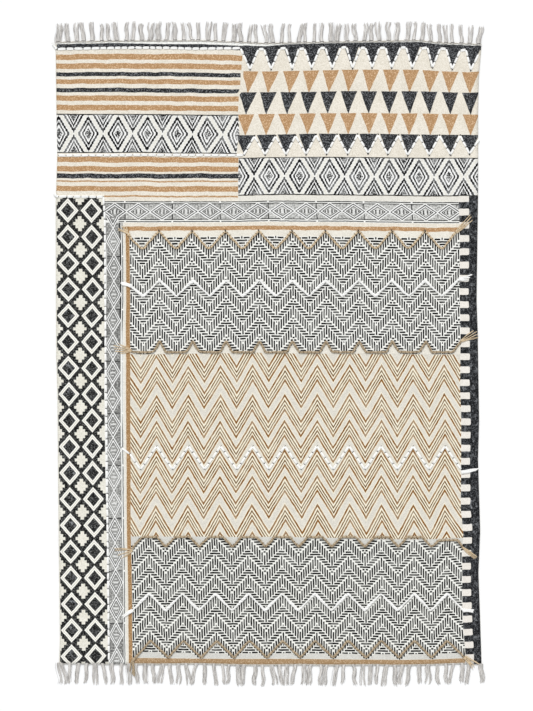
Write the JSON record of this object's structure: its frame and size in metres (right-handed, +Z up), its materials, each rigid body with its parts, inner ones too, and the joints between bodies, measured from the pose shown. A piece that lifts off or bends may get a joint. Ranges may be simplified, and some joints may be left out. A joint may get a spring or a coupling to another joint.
{
  "type": "dhurrie rug",
  "caption": "Flat-woven cotton floor rug with block-printed borders and zigzag panels, stitched yarns and knotted fringes at both ends.",
  "frame": {"origin": "bottom centre of the rug's bounding box, fringes included, on the floor", "axes": "+Z up out of the printed face, +Y along the rug's length towards its striped end, +X across its width"},
  "size_m": [1.2076, 1.8886, 0.0071],
  "materials": {
    "cloth": "matt flat-woven cotton, block printed",
    "fringe": "matt cotton warp yarns, frayed at their tips",
    "jute_yarn": "matt coarse plied yarn",
    "white_yarn": "matt soft cotton yarn"
  },
  "bodies": {
    "root": {"rug_cloth": "cloth", "fringe_top": "fringe", "fringe_bottom": "fringe", "yarn_upper_crest": "jute_yarn", "yarn_upper_foot": "jute_yarn", "yarn_lower_crest": "jute_yarn", "yarn_lower_foot": "jute_yarn", "yarn_upper_middle": "white_yarn", "yarn_chevron_middle": "white_yarn", "yarn_lower_middle": "white_yarn", "yarn_top_arches": "white_yarn", "yarn_band_points": "white_yarn", "yarn_border_line": "white_yarn"}
  },
  "joints": []
}
